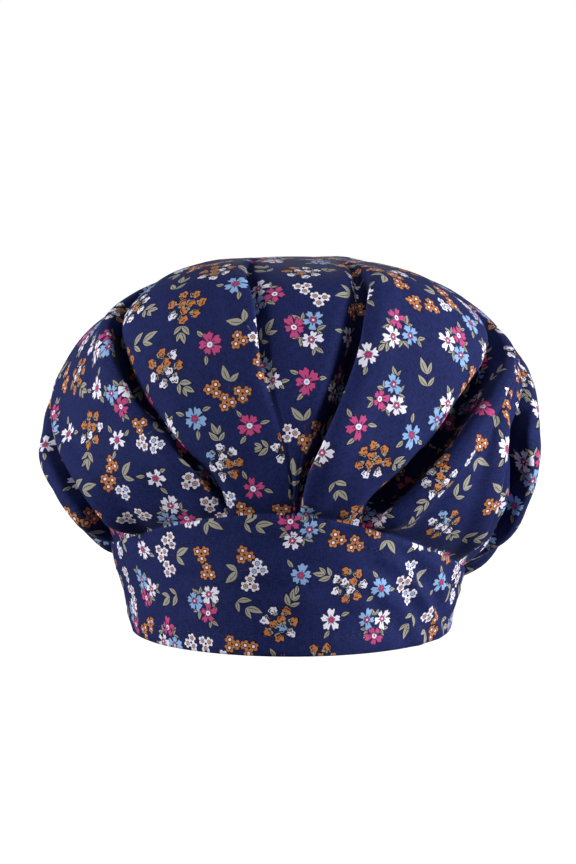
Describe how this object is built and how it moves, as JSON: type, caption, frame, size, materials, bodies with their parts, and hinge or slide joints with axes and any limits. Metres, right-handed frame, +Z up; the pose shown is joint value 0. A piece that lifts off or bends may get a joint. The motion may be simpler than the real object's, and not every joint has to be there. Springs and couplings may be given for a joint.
{
  "type": "scrub cap",
  "caption": "Bouffant scrub cap in floral printed cotton, with a full pleated crown, a deep front band and a gathered elastic casing at the back.",
  "frame": {"origin": "centre of the head opening in the plane of the rim that the cap stands on", "axes": "+Z up out of the crown's top, the wearer faces -Y, +X is on the right as seen from the front"},
  "size_m": [0.2393, 0.2493, 0.1771],
  "materials": {
    "crown_cloth": "plain-woven cotton, navy ground with a small scattered floral print",
    "band_cloth": "the same printed cotton, doubled and topstitched",
    "casing_cloth": "the same printed cotton, gathered over elastic"
  },
  "bodies": {
    "root": {"crown": "crown_cloth", "front_band": "band_cloth", "back_casing": "casing_cloth"}
  },
  "joints": []
}
